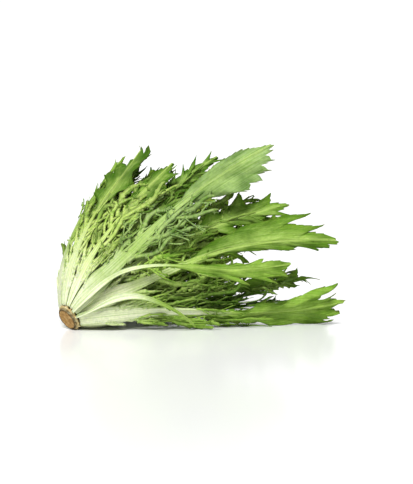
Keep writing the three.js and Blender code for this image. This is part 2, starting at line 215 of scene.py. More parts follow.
# Fibres run out from the middle of the cut, and rings of growth cross them faintly.
around = worked(stump_finish, "ARCTAN2", parts.outputs["Y"], parts.outputs["X"])
fibre_at = add_node(stump_finish, "ShaderNodeCombineXYZ", {
    "X": worked(stump_finish, "SINE", around), "Y": worked(stump_finish, "COSINE", around),
    "Z": worked(stump_finish, "MULTIPLY", outness, 0.25),
}).outputs[0]
fibres = noise(stump_finish, fibre_at, 9.0, 4.0)
blotches = noise(stump_finish, upright, 330.0, 4.0)
specks = noise(stump_finish, upright, 1500.0, 2.0)
wood = ramp(stump_finish, blotches, [
    (0.3, (0.27, 0.14, 0.035)), (0.5, (0.43, 0.25, 0.075)), (0.7, (0.60, 0.41, 0.17)),
])
wood = toned(stump_finish, wood, ramp(stump_finish, fibres, [(0.35, 0.72), (0.6, 1.1)]))
skin = ramp(stump_finish, blotches, [
    (0.32, (0.30, 0.19, 0.06)), (0.5, (0.52, 0.40, 0.18)), (0.7, (0.68, 0.62, 0.36)),
])
ring_level = ramp(stump_finish, outness, [
    (0.70, 1.0), (0.80, 0.5), (0.83, 0.14), (0.87, 0.16), (0.90, 0.7), (1.0, 1.0),
])
outside = ramp(stump_finish, outness, [(0.83, 0.0), (0.86, 1.0)])
stump_colour = toned(stump_finish, blended(stump_finish, outside, wood, skin), ring_level)
speck_level = ramp(stump_finish, specks, [(0.35, 0.8), (0.65, 1.1)])
stump_colour = toned(stump_finish, stump_colour, speck_level)
stump_relief = worked(stump_finish, "ADD", worked(stump_finish, "MULTIPLY", fibres, 0.8), specks)
stump_bump = add_node(
    stump_finish, "ShaderNodeBump", {"Height": stump_relief, "Strength": 0.6, "Distance": 0.0005})
set_inputs(stump_finish, stump_shader, {
    "Base Color": stump_colour, "Normal": stump_bump.outputs["Normal"], "Roughness": 0.75,
    "Specular IOR Level": 0.25,
})
stump.data.materials.append(stump_finish)
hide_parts("stem")
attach(stump, "root")
bpy.ops.object.select_all(action="DESELECT")


# ---- The leaves: how the head holds them --------------------------------------------------------
# Leaves grow from the stem in whorls, one inside another, each on a bowl-shaped shell round the
# head's axis. The head's weight then sags them and presses the lower ones flat on the table.
FULL_REACH = 296.0  # the distance from the stem at which the head is fully sagged
PAST_REACH = 61.0  # how far the shells run on after that
SPREAD_AT_STEM, SPREAD_FAR_OUT, SPREAD_SETTLES = math.radians(56), math.radians(29), 50.0
SPREAD_CLOSING = 0.85
FOOT_RADIUS, FOOT_HEIGHT = (12.9, 5.6), (3.4, 25.0)
SAG, TOP_CLOSING, SPLAY, BOX_POWER = 0.44, 0.25, 0.22, (2.0, 5.0)
PRESSED_FROM, PRESSED_OVER, TABLE_CLEARANCE, FLAT_SPOT = 11.0, 35.0, 3.4, 4.27
SWELL, SWELLS_OVER = 28.0, 30.0  # how far the outer shell swells out, and over what height
ROOM_AT_STEM, ROOM_GROWTH, ROOM_SETTLES = 3.2, 0.075, 190.0
WIDEST_SECTOR, SECTOR_OPENS = math.radians(34), 60.0
SECTOR_GAP, SECTOR_GAP_OVER, NARROWEST, EDGE_POWER = (0.5, 1.3), 40.0, 0.7, 6
MIDDLE_ABOVE_SPOT = 0.72  # the least height of a leaf's middle over its flat spot
PATH_AT = np.array([0.0, 60.0, 150.0, 290.0])


def mix(a, b, t):
    return a + (b - a) * t


def smooth(t):
    t = np.clip(t, 0.0, 1.0)
    return t * t * (3.0 - 2.0 * t)


def shell_table(depth):
    """Radius, height and angle of a whorl's shell at each millimetre from the stem."""
    def angle_at(s):
        spread = mix(SPREAD_FAR_OUT, SPREAD_AT_STEM, np.exp(-s / SPREAD_SETTLES))
        return (1.0 - depth) ** SPREAD_CLOSING * spread

    steps = np.arange(FULL_REACH + PAST_REACH)
    middle = angle_at(steps[1:] - 0.5)
    radius = mix(*FOOT_RADIUS, depth) + np.concatenate([[0.0], np.cumsum(np.sin(middle))])
    height = mix(*FOOT_HEIGHT, depth) + np.concatenate([[0.0], np.cumsum(np.cos(middle))])
    return steps, radius, height, angle_at(steps)


def room_at(s):
    """The room between one whorl's shell and the next."""
    return ROOM_AT_STEM + ROOM_GROWTH * np.minimum(s, ROOM_SETTLES)


def place(r, h, turn):
    """Points given round the axis, where they lie in the head on the table."""
    height = np.maximum(h, 0.0)
    far = np.hypot(np.maximum(r - FOOT_RADIUS[0], 0.0), height) / FULL_REACH
    turned = turn - SAG * far**1.5 * np.cos(turn)
    across, above = np.abs(np.cos(turned)), np.sin(turned)
    share = 1.0 - TOP_CLOSING * np.maximum(above, 0.0) * smooth(far * 1.6)
    share = share * (1.0 + SPLAY * across * smooth(0.5 - 1.2 * above) * smooth(far * 1.3))
    swell = SWELL * (1.0 - np.exp(-height / SWELLS_OVER))
    outer = FOOT_RADIUS[0] + math.tan(SPREAD_FAR_OUT) * height + swell
    room = STEM_HEIGHT - TABLE_CLEARANCE + height * math.sin(HEAD_TILT)
    reach = outer * share * math.cos(HEAD_TILT) / room
    flattened = mix(1.0, np.maximum(reach, 1.0), smooth((height - PRESSED_FROM) / PRESSED_OVER))
    power = mix(*BOX_POWER, smooth(far * 1.5))
    below = np.maximum(-above, 1e-6)
    boxed = (across**power + (below * flattened) ** power) ** (-1.0 / power)
    share = np.where(above < 0.0, share * boxed, share)
    point = np.zeros(np.shape(r) + (3,))
    point[..., 2] = STEM_HEIGHT
    point += h[..., None] * AXIS + (r * share * np.cos(turned))[..., None] * NEAR
    return point + (r * share * np.sin(turned))[..., None] * UP


def midrib_at(leaf, s):
    """The angle round the axis of a leaf's midrib, on a smooth curve through its four angles."""
    at = np.clip(s, 0.0, PATH_AT[3] - 1e-6)
    i = np.searchsorted(PATH_AT, at, side="right") - 1
    path = np.array(leaf["path"], float)
    before, after = [0, 0, 1, 2], [1, 2, 3, 3]  # the angles on each side of each
    slopes = (path[after] - path[before]) / (PATH_AT[after] - PATH_AT[before])
    span = PATH_AT[i + 1] - PATH_AT[i]
    t = (at - PATH_AT[i]) / span
    leaving = span * slopes[i] * t * (1.0 - t) ** 2
    arriving = span * slopes[i + 1] * t * t * (t - 1.0)
    return np.radians(mix(path[i], path[i + 1], smooth(t)) + leaving + arriving)


def shared_room(leaf, other, lap, s):
    """A leaf's part of the angle between its midrib and its neighbour's."""
    claim, theirs = leaf["foot"] + s / SECTOR_OPENS, other["foot"] + s / SECTOR_OPENS
    return np.abs(midrib_at(other, s) + lap - midrib_at(leaf, s)) * claim / (claim + theirs)


def lay(leaf, x, s, lift, loose=1.0):
    """Points of a flat leaf laid on its shell, kept to the leaf's own sector, or near it if loose."""
    x, s, lift = np.broadcast_arrays(np.asarray(x, float), s, lift)
    steps, radii, heights, angles = leaf["shell"]
    at = np.clip(s, 0.0, steps[-1] - 0.001)
    r, h, angle = (np.interp(at, steps, table) for table in (radii, heights, angles))
    turn = midrib_at(leaf, s)
    half = [shared_room(leaf, other, lap, s) for other, lap in (leaf["before"], leaf["after"])]
    own = np.where(x < 0.0, half[0], half[1])
    gap = mix(*SECTOR_GAP, smooth(s / SECTOR_GAP_OVER))
    room = np.maximum(np.minimum(own, WIDEST_SECTOR) * r - gap, NARROWEST) * loose
    kept = x / (1.0 + (np.abs(x) / room) ** EDGE_POWER) ** (1.0 / EDGE_POWER)
    laid = place(r - lift * np.cos(angle), h + lift * np.sin(angle), turn + kept / r)
    laid[..., 2] = np.maximum(laid[..., 2], FLAT_SPOT + MIDDLE_ABOVE_SPOT)
    return laid


# ---- One leaf's tissue --------------------------------------------------------------------------
# A leaf is a thick, ridged rib with a toothed blade at its tip, and below the blade narrow cut
# strips that fork and curl. Every strip and half blade is a thin closed body rooted in the rib.
RIB_WIDTH = {"foot": 4.3, "widest": 7.6, "tip": 1.1, "taper": 1.7}  # half widths
RIB_BULGE = {"foot": 1.5, "widest": 2.3, "tip": 0.5, "taper": 1.3}
RIB_WIDEST_AT, RIB_SLIMS_FROM, RIB_SLIMS_OVER = 46.0, 16.0, 46.0
RIB_BACK, RIB_FRONT, RIB_SKIN = 2.4, 0.25, 0.35  # how its two faces stand out, over a thin skin
RIDGES, RIDGE_DEPTH = 15.0, 0.2
RIB_ROWS, RIB_COLUMNS = 54, 17
FOOT_ROOM, FOOT_LOOSE, FOOT_NARROWS_OVER = 1.12, 1.12, 95.0
WEB_FROM, WEB_OVER = 0.2, 0.68  # the stretch of the leaf where its edge waves
BLADE_COLUMNS = np.array([0.0, 0.1, 0.22, 0.36, 0.5, 0.64, 0.78, 0.9, 1.0])  # midrib to margin
TOOTH_STEP = 5.5  # along a blade's margin
TOOTH_SHARES, TOOTH_TIP = (0.0, 0.35, 0.62, 0.8, 0.96), 0.78
STRIP_ROWS, FORK_ROWS, SPUR_ROWS = 22, 10, 12
STRIP_TOOTH = np.array([0.0, 0.3, 1.0, 0.12])  # one tooth on a strip's edge, row by row
# What each strip's and fork's own values are drawn from: degrees, and shares of its style's value.
LEAVING_LOW, LEAVING_HIGH, LEAVING = 34.0, 20.0, (-16.0, 22.0)
ENDING, SWING, HOOK = (-44.0, 34.0), (-46.0, 46.0), (-80.0, 110.0)
STRIP_LENGTHS, STRIP_WIDTHS, STRIP_CURLS = (0.35, 1.3), (0.6, 1.5), (-0.5, 1.0)
WAVE_STARTS, FIRST_TWIST, LAST_TWIST = (0.0, 6.3), (-0.9, 0.9), (-1.2, 1.2)
FORK_ANGLES, FORK_BENDS = (22.0, 55.0), (-0.4, 1.6)
FORK_LENGTHS, FORK_RISES = (0.35, 1.4), (-4.5, 4.5)
DRIED_EDGE, FRESH_EDGE = 1.25, 0.8
FIRST_SEED = 4200


class Tissue:
    """Gathers the points, faces and marks of one leaf's closed bodies."""

    def __init__(self):
        self.points, self.faces, self.hard = [], [], []
        self.marks = {"along": [], "across": [], "rib": [], "vein": [], "edge": []}
        self.count = 0

    def take(self, points, faces, hard, marks):
        """Adds bodies of one pattern: points (bodies, corners, 3), faces (faces, 4) for each."""
        bodies, corners = points.shape[:2]
        start = self.count + corners * np.arange(bodies)[:, None, None]
        self.points.append(points.reshape(-1, 3))
        self.faces.append((faces[None] + start).reshape(-1, 4))
        self.hard.append(np.tile(hard, bodies))
        for key, values in self.marks.items():
            values.append(np.broadcast_to(marks.get(key, 0.0), points.shape[:2]).reshape(-1))
        self.count += bodies * corners


def slab_faces(rows, columns):
    """The faces of a closed slab: a back grid, a front grid and the rim round them."""
    grid = np.arange(rows * columns).reshape(rows, columns)
    a, b, c, d = grid[:-1, :-1], grid[:-1, 1:], grid[1:, 1:], grid[1:, :-1]
    back = np.stack([a, b, c, d], -1).reshape(-1, 4)
    front = back[:, ::-1] + rows * columns
    loop = np.concatenate([grid[0, :-1], grid[:-1, -1], grid[-1, :0:-1], grid[:0:-1, 0]])
    ahead = np.roll(loop, -1)
    rim = np.stack([ahead, loop, loop + rows * columns, ahead + rows * columns], -1)
    faces = np.concatenate([back, front, rim])
    return faces, np.arange(len(faces)) >= len(back) + len(front)


def outward(middle):
    """The direction square to a laid grid of points, out of the head."""
    along = np.gradient(middle, axis=-3)
    across = np.gradient(middle, axis=-2)
    square = np.cross(across, along)
    return square / np.maximum(np.linalg.norm(square, axis=-1, keepdims=True), 1e-9)


def add_slab(tissue, middle, back, front, marks, flip=False):
    """Adds one slab from its middle surface and the thickness on its two sides."""
    square = outward(middle)
    if flip:
        square = -square
    rows, columns = middle.shape[:2]
    outer = middle + square * back[..., None]
    inner = middle - square * front[..., None]
    faces, hard = slab_faces(rows, columns)
    if flip:
        faces = faces[:, ::-1]
    points = np.concatenate([outer.reshape(-1, 3), inner.reshape(-1, 3)])
    points[:, 2] = np.maximum(points[:, 2], FLAT_SPOT)
    both = {}
    for key, value in marks.items():
        both[key] = np.tile(np.broadcast_to(value, (rows, columns)).reshape(-1), 2)
    tissue.take(points[None], faces, hard, both)


def along_rib(leaf, s, measure):
    """How a measure of the rib grows from its foot to its widest place and tapers to its tip."""
    rising = mix(measure["foot"], measure["widest"], smooth(s / RIB_WIDEST_AT))
    left = np.clip(1.0 - (s - RIB_WIDEST_AT) / (leaf["length"] - RIB_WIDEST_AT), 0.0, 1.0)
    falling = mix(measure["tip"], measure["widest"], left ** measure["taper"])
    return leaf["size"] * np.where(s < RIB_WIDEST_AT, rising, falling)


def rib_half(leaf, s):
    return along_rib(leaf, s, RIB_WIDTH) * mix(leaf["foot"], 1.0, smooth(s / 90.0))


def wave_at(leaf, side, s):
    """How far the leaf's edge waves up or down at a place along the rib, from -1 to 1."""
    lobe = (s / leaf["length"] - WEB_FROM) / WEB_OVER * leaf["lobes"]
    return np.sin(lobe * 2.2 + side + leaf["number"] * 1.7)


def sector_room(leaf, s, side):
    """Half the width that a leaf may take at its own side of its midrib."""
    other, lap = leaf["before"] if side < 0 else leaf["after"]
    steps, radii = leaf["shell"][:2]
    return shared_room(leaf, other, lap, s) * np.interp(s, steps, radii)


def add_rib(tissue, leaf):
    """The rib: rounded at the back, slightly hollow at the front, its foot sunk in the stem."""
    style, length = leaf["style"], leaf["length"]
    s = np.concatenate([[0.0, 0.0, 1.5], np.linspace(4.0, 0.97 * length, RIB_ROWS)])
    sunk = np.zeros(len(s))
    sunk[:2] = (6.0, 2.5)
    u = np.sin(np.linspace(-0.5, 0.5, RIB_COLUMNS) * math.pi)
    slim = mix(1.0, style["rib"], smooth((s - RIB_SLIMS_FROM) / RIB_SLIMS_OVER))
    half = rib_half(leaf, s) * slim
    halves = []
    for side in (-1.0, 1.0):
        wide = np.minimum(style["wide_foot"] * half, FOOT_ROOM * sector_room(leaf, s, side))
        halves.append(mix(np.maximum(half, wide), half, smooth(s / FOOT_NARROWS_OVER)))
    halves = np.stack(halves)
    halves[:, 0] *= 0.6
    across = np.where(u < 0.0, halves[0][:, None], halves[1][:, None]) * u
    lift = sunk - 0.1 * room_at(s)
    middle = lay(leaf, across, s[:, None], lift[:, None], FOOT_LOOSE)
    bulge = along_rib(leaf, s, RIB_BULGE) * slim
    crown = (1.0 - u * u) ** 0.6
    lines = np.cos(u * RIDGES + 0.8 * np.sin(s / 31.0)[:, None] + leaf["number"])
    ridges = RIDGE_DEPTH * lines * (1.0 - u * u) * smooth(s / 12.0)[:, None]
    back = RIB_SKIN + RIB_BACK * bulge[:, None] * (crown + ridges)
    front = RIB_SKIN + RIB_FRONT * bulge[:, None] * (crown - 1.3 * crown**4)
    # The rib fades a little at its edges and towards the tip, and its foot greens more slowly.
    fading = mix(1.0, 0.8, smooth((s / length - 0.5) / 0.25))[:, None]
    rib = np.clip(1.2 - 0.8 * np.abs(u) ** 3, 0.0, 1.0) * fading
    greening = s * mix(1.0 / style["blanched"], 1.0, smooth((s / length - 0.45) / 0.3))
    marks = {"along": greening[:, None], "across": across, "vein": 0.0, "edge": 0.0, "rib": rib}
    add_slab(tissue, middle, back, front, marks)


def on_side(style, key, side):
    """A value of a leaf's style, or one of a pair: the side of smaller angles comes first."""
    value = style[key]
    return value[0 if side < 0 else 1] if isinstance(value, tuple) else value


def drawn_margin(style, side, size, rng):
    """The fingers of a half blade as points: out from the midrib, and back from the leaf's tip."""
    drawn = style["margin"][0 if side < 0 else 1] if "margin" in style else None
    if drawn:
        return drawn
    long, wide = style["blade"] * size, style["width"] * size
    points = [(2.0, long)]
    fingers = style["fingers"]
    for i in range(fingers):
        way = (i + 0.5 + rng.uniform(-0.25, 0.25)) / fingers
        web = wide * min(1.0, 0.35 + 1.8 * way) * (1.0 - way) ** 0.6
        back = long * (1.0 - way)
        reach = style["reach"] * size * rng.uniform(0.6, 1.3)
        points.append((0.62 * web, back + 0.35 * reach))
        points.append((web + 0.35 * reach, back - 0.65 * reach))
        points.append((0.66 * web, back - 0.1 * reach))
    return points + [(0.3, 0.0)]


def notched(points, notch, rng):
    """A drawn margin with small saw teeth set along it: out, back and how far the teeth stand."""
    rows = []
    for (out, back), (next_out, next_back) in zip(points[:-1], points[1:]):
        teeth = max(round(math.hypot(next_out - out, next_back - back) / TOOTH_STEP), 1)
        for j in range(teeth):
            height = notch * rng.uniform(0.15, 1.3)
            for share in TOOTH_SHARES:
                way = (j + share) / teeth
                stand = height * min(share / TOOTH_TIP, (1.0 - share) / 0.22)
                rows.append((mix(out, next_out, way), mix(back, next_back, way), stand))
    rows.append((points[-1][0], points[-1][1], 0.0))
    return np.array(rows).T


def add_blade(tissue, leaf, side, rng):
    """One half of the blade: rows run out along the side veins to a margin of fingers and teeth."""
    style, length, size = leaf["style"], leaf["length"], leaf["size"]
    notch = on_side(style, "notch", side) * size**0.5
    out, back, stand = notched(drawn_margin(style, side, size, rng), notch, rng)
    path = np.concatenate([[0.0], np.cumsum(np.hypot(np.diff(out), np.diff(back)))])
    q = path / path[-1]
    root = np.maximum(back[0] * (1.0 - q) ** style["fan"], 0.8)
    run = np.hypot(out, root - back)
    end = 1.0 + stand / np.maximum(run, 4.0)
    way = BLADE_COLUMNS * end[:, None]
    s = length - root
    along = s[:, None] + (root - back)[:, None] * way
    start = 0.5 * rib_half(leaf, s) * style["rib"]
    x = side * (start[:, None] * np.clip(1.0 - way, 0.0, 1.0) + out[:, None] * way)
    wave = wave_at(leaf, side, s)[:, None]
    far = np.clip(np.abs(x) / 26.0, 0.0, 1.0)
    ruffle = style["ruffle"] * np.sin(along / 5.6 + leaf["number"]) * way**2 * far**0.5
    ruffle += 0.45 * style["ruffle"] * np.sin(q * 34.0 + 2.0 * leaf["number"])[:, None] * way**3
    folds = np.sin(q * 60.0 + 3.0 * np.sin(q * 9.0))[:, None]
    pleats = style["pleat"] * folds * np.minimum(way, 1.0) * (1.0 - 0.5 * way)
    lift = room_at(along) * (0.25 * far * wave * size - 0.1 * (1.0 - way))
    lift += ruffle + pleats + on_side(style, "cup", side) * far**1.5
    middle = lay(leaf, x, along, lift, style["loose"])
    thick = mix(0.5, 0.22, np.minimum(way, 1.0)) * np.ones_like(way)
    marks = {
        "along": along, "across": x, "rib": np.clip(0.5 * (1.0 - way / 0.14), 0.0, 1.0),
        "vein": q[:, None] * path[-1],
        "edge": BLADE_COLUMNS * (1.0 + 0.3 * stand[:, None] / notch),
    }
    add_slab(tissue, middle, thick, thick, marks, flip=side < 0)


def strip_frames(line, leaf, x, s, lift, loose):
    """Along, across and square directions of strips whose middle lines are laid in the head."""
    forward = np.gradient(line, axis=1)
    forward /= np.maximum(np.linalg.norm(forward, axis=-1, keepdims=True), 1e-9)
    square = line - lay(leaf, x, s, lift + 1.0, loose)
    square -= (square * forward).sum(-1, keepdims=True) * forward
    size = np.linalg.norm(square, axis=-1, keepdims=True)
    square = np.where(size > 0.02, square / np.maximum(size, 1e-9), [0.0, 0.0, -1.0])
    return forward, np.cross(square, forward), square


def add_strips(tissue, leaf, x, s, lift, half, teeth, twist, marks, thick, loose):
    """Strips of one pattern, each a thin closed strap with teeth along its own middle line."""
    line = lay(leaf, x, s, lift, loose)
    forward, across, square = strip_frames(line, leaf, x, s, lift, loose)
    turned = np.cos(twist)[..., None] * across + np.sin(twist)[..., None] * square
    normal = np.cos(twist)[..., None] * square - np.sin(twist)[..., None] * across
    bodies, rows = x.shape
    hollow = normal * 0.3 * half[..., None]
    skin = normal * thick[..., None]
    edges = []
    for tooth, hand in zip(teeth, (-1.0, 1.0)):
        out = turned * hand * (half + tooth)[..., None]
        edges.append(line + out + forward * 0.7 * tooth[..., None] - hollow)
    ring = np.stack([edges[0], line + skin, edges[1], line - skin], axis=2)
    ring[..., 2] = np.maximum(ring[..., 2], FLAT_SPOT)
    corner = np.arange(rows * 4).reshape(rows, 4)
    a, b = corner[:-1], np.roll(corner[:-1], -1, axis=1)
    c, d = np.roll(corner[1:], -1, axis=1), corner[1:]
    sides = np.stack([a, b, c, d], -1).reshape(-1, 4)
    caps = np.array([corner[0, ::-1], corner[-1]])
    faces = np.concatenate([sides, caps])
    spread = {}
    for key, value in marks.items():
        spread[key] = np.repeat(np.broadcast_to(value, x.shape), 4, axis=1)
    tissue.take(ring.reshape(bodies, -1, 3), faces, np.zeros(len(faces), bool), spread)


def strip_teeth(rng, bodies, rows, size):
    """Teeth on both edges of strips: every fourth row one stands out, by a length of its own."""
    beat = len(STRIP_TOOTH)
    t = np.linspace(0.0, 1.0, rows)
    fading = smooth(t * 5.0) * smooth((1.0 - t) * 5.0)
    both = []
    for _ in range(2):
        phase = rng.integers(0, beat, bodies)
        cycle = np.arange(rows)[None] + phase[:, None]
        reach = rng.uniform(0.0, 1.0, (bodies, rows // beat + 2)) ** 1.3
        each = np.take_along_axis(reach, cycle // beat, axis=1)
        both.append(size * each * STRIP_TOOTH[cycle % beat] * fading)
    return both


def walk(x, s, heading, reach):
    """The middle lines of strips, from their roots, their headings and how far they reach."""
    step = (reach / (heading.shape[1] - 1))[:, None]
    zero = np.zeros((len(x), 1))
    dx = np.concatenate([zero, np.cumsum(np.sin(heading[:, :-1]) * step, axis=1)], axis=1)
    ds = np.concatenate([zero, np.cumsum(np.cos(heading[:, :-1]) * step, axis=1)], axis=1)
    return x[:, None] + dx, s[:, None] + ds


def add_side_strips(tissue, leaf, rng):
    """The cut strips on both sides of the rib, and the shorter ones that fork from them."""
    style = leaf["style"]
    length, size = leaf["length"], leaf["size"]
    roots, sides = [], []
    for side in (-1.0, 1.0):
        first = on_side(style, "strips_from", side) * length
        last = on_side(style, "strips_to", side) * length
        count = max(int((last - first) / on_side(style, "strip_gap", side)), 1)
        at = np.arange(count) + rng.uniform(-0.7, 0.7, count)
        roots.append(first + at * (last - first) / count)
        sides.append(np.full(count, side))
    root, side = np.concatenate(roots), np.concatenate(sides)
    count = len(root)
    t = np.linspace(0.0, 1.0, STRIP_ROWS)

    def drawn(low, high):
        return rng.uniform(low, high, count)[:, None]

    grown = smooth((root - 0.1 * length) / (0.25 * length))
    reach = style["strip"] * size * mix(0.3, 1.0, grown) * rng.uniform(*STRIP_LENGTHS, count)
    reach = np.minimum(reach, 0.94 * length - root)
    spread = mix(LEAVING_LOW, LEAVING_HIGH, smooth((root / length - 0.15) / 0.5))
    leaving = np.radians(spread[:, None] + drawn(*LEAVING))
    ending = np.radians(drawn(*ENDING))
    swing = np.radians(drawn(*SWING))
    wander = np.sin(t * 7.0 + drawn(*WAVE_STARTS)) * t
    heading = mix(leaving, ending, smooth(t * 1.2)) + swing * wander
    hooked = np.radians(drawn(*HOOK)) * np.clip(t - 0.6, 0.0, 1.0) ** 1.4 * 3.0
    heading = (heading + hooked * style["curl"]) * side[:, None]
    x, s = walk(side * 0.6 * rib_half(leaf, root), root, heading, reach)
    clear = style["clear"] * style["rib"] * rib_half(leaf, s) + 1.5 * t
    x = side[:, None] * np.maximum(x * side[:, None], clear)
    wave = wave_at(leaf, side, root)[:, None]
    curl = drawn(*STRIP_CURLS) * t**1.2
    curl = curl + 0.14 * np.sin(t * 6.0 + drawn(*WAVE_STARTS)) * t
    lift = room_at(s) * (0.3 * wave * t * size + curl * style["curl"] - 0.1 * (1.0 - t))
    lift = lift + np.where(side < 0.0, *style["hang"])[:, None] * t * drawn(0.2, 1.0)
    width = style["strip_width"] * size**0.5 * drawn(*STRIP_WIDTHS)
    body = width * (0.55 + 0.45 * np.sin(math.pi * np.minimum(t * 0.85 + 0.08, 1.0)))
    body = body * (1.0 + 0.8 * np.exp(-t / 0.06))
    body[:, -1] = 0.15
    tooth = style["tooth"] * size**0.5
    teeth = strip_teeth(rng, count, STRIP_ROWS, tooth * mix(0.5, 1.0, grown)[:, None])
    twist = drawn(*FIRST_TWIST) * smooth(t * 1.4)
    twist = twist + drawn(*LAST_TWIST) * t * t
    pale = rng.uniform(0.0, 1.0, count) ** 1.5 * style["paleness"]
    dried = np.where(rng.uniform(0.0, 1.0, count) < style["dried"], DRIED_EDGE, FRESH_EDGE)
    marks = {
        "along": s, "across": x, "edge": t * dried[:, None],
        "rib": np.clip(0.7 * np.exp(-t / 0.2)[None] + pale[:, None], 0.0, 1.0) * (1.0 - 0.3 * t),
        "vein": root[:, None],
    }
    thick = np.broadcast_to(0.32 + 0.22 * np.exp(-t / 0.2), x.shape)
    loose = style["strip_loose"]
    add_strips(tissue, leaf, x, s, lift, body, teeth, twist, marks, thick, loose)

    # Shorter strips fork from the long ones on alternate sides.
    each = style["forks"]
    host = np.repeat(np.arange(count), each)
    order = np.tile(np.arange(each), count)
    forks = count * each
    way = (order + rng.uniform(0.1, 1.0, forks)) / (each + 0.4) * 0.8 + 0.12
    at = way * (STRIP_ROWS - 1)
    low = np.minimum(at.astype(int), STRIP_ROWS - 2)
    part = at - low

    def along_host(values):
        return mix(values[host, low], values[host, low + 1], part)

    v = np.linspace(0.0, 1.0, FORK_ROWS)
    hand = np.where((order + host) % 2 == 0, 1.0, -1.0)
    tilt = np.radians(rng.uniform(*FORK_ANGLES, forks)) * hand
    bend = -tilt * rng.uniform(*FORK_BENDS, forks)
    heading = along_host(heading)[:, None] + tilt[:, None] + bend[:, None] * v**1.3
    reach = style["fork"] * size**0.5 * rng.uniform(*FORK_LENGTHS, forks) * (1.3 - way)
    x, s = walk(along_host(x), along_host(s), heading, reach)
    lift = along_host(lift)[:, None] + rng.uniform(*FORK_RISES, forks)[:, None] * size * v**1.3
    body = (0.36 * width[host] + 0.2) * (1.0 - 0.75 * v**1.5)
    body[:, -1] = 0.12
    teeth = strip_teeth(rng, forks, FORK_ROWS, 0.8 * style["tooth"] * size**0.5)
    twist = rng.uniform(*LAST_TWIST, forks)[:, None] * v
    marks = {
        "along": s, "across": x, "edge": mix(0.5, 1.0, v)[None],
        "rib": 0.6 * pale[host][:, None] * (1.0 - v), "vein": root[host][:, None],
    }
    thick = np.broadcast_to(0.32 * (1.0 - 0.5 * v), x.shape)
    add_strips(tissue, leaf, x, s, lift, body, teeth, twist, marks, thick, 1.06 * loose)


def add_spurs(tissue, leaf, rng):
    """Short pale pointed stubs on the sides of the rib's foot, below the cut strips."""
    style, size = leaf["style"], leaf["size"]
    count = 2 * style["spurs"]
    if not count:
        return
    side = np.where(np.arange(count) % 2 == 0, 1.0, -1.0)
    root = (0.06 + 0.24 * rng.uniform(0.0, 1.0, count)) * leaf["length"]
    t = np.linspace(0.0, 1.0, SPUR_ROWS)
    reach = style["spur"] * size * rng.uniform(0.4, 1.2, count)
    heading = np.radians(rng.uniform(10.0, 34.0, count))[:, None] * (1.0 - 0.5 * t) * side[:, None]
    x, s = walk(side * 0.75 * rib_half(leaf, root), root, heading, reach)
    lift = -0.1 * room_at(s) - rng.uniform(-0.5, 2.0, count)[:, None] * t
    body = rng.uniform(1.4, 3.0, count)[:, None] * size**0.5 * (1.0 - t**1.6) + 0.12
    teeth = strip_teeth(rng, count, SPUR_ROWS, 1.6 * size**0.5)
    twist = rng.uniform(-0.5, 0.5, count)[:, None] * t
    marks = {
        "along": s, "across": x, "edge": t[None] * 0.5, "rib": mix(1.0, 0.75, t)[None],
        "vein": root[:, None],
    }
    thick = np.broadcast_to(0.9 - 0.5 * t, x.shape)
    add_strips(tissue, leaf, x, s, lift, body, teeth, twist, marks, thick, 1.5)


def leaf_piece(name, leaf, finish):
    """Grows one leaf and makes it an object that stands for the plain leaf of that name."""
    rng = np.random.default_rng(FIRST_SEED + leaf["number"])
    tissue = Tissue()
    add_rib(tissue, leaf)
    for side in (-1.0, 1.0):
        add_blade(tissue, leaf, side, rng)
    add_side_strips(tissue, leaf, rng)
    add_spurs(tissue, leaf, rng)
    points = to_frame(np.concatenate(tissue.points)).astype(np.float32)
    faces = np.concatenate(tissue.faces).astype(np.int32)
    mesh = bpy.data.meshes.new(name)
    mesh.vertices.add(len(points))
    mesh.vertices.foreach_set("co", points.reshape(-1))
    mesh.loops.add(faces.size)
    mesh.loops.foreach_set("vertex_index", faces.reshape(-1))
    mesh.polygons.add(len(faces))
    mesh.polygons.foreach_set("loop_start", np.arange(0, faces.size, 4, dtype=np.int32))
    flat_faces = mesh.attributes.new("sharp_face", "BOOLEAN", "FACE")
    flat_faces.data.foreach_set("value", np.concatenate(tissue.hard))
    for key, values in tissue.marks.items():
        mark = mesh.attributes.new(key, "FLOAT", "POINT")
        mark.data.foreach_set("value", np.concatenate(values).astype(np.float32))
    mesh.update(calc_edges=True)
    mesh.validate()
    mesh.materials.append(finish)
    piece = bpy.data.objects.new(name + "_tissue", mesh)
    bpy.context.scene.collection.objects.link(piece)
    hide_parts(name)
    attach(piece, "root")
    return piece


def mix_colour(one, other, share):
    return tuple(mix(a, b, share) for a, b in zip(one, other))


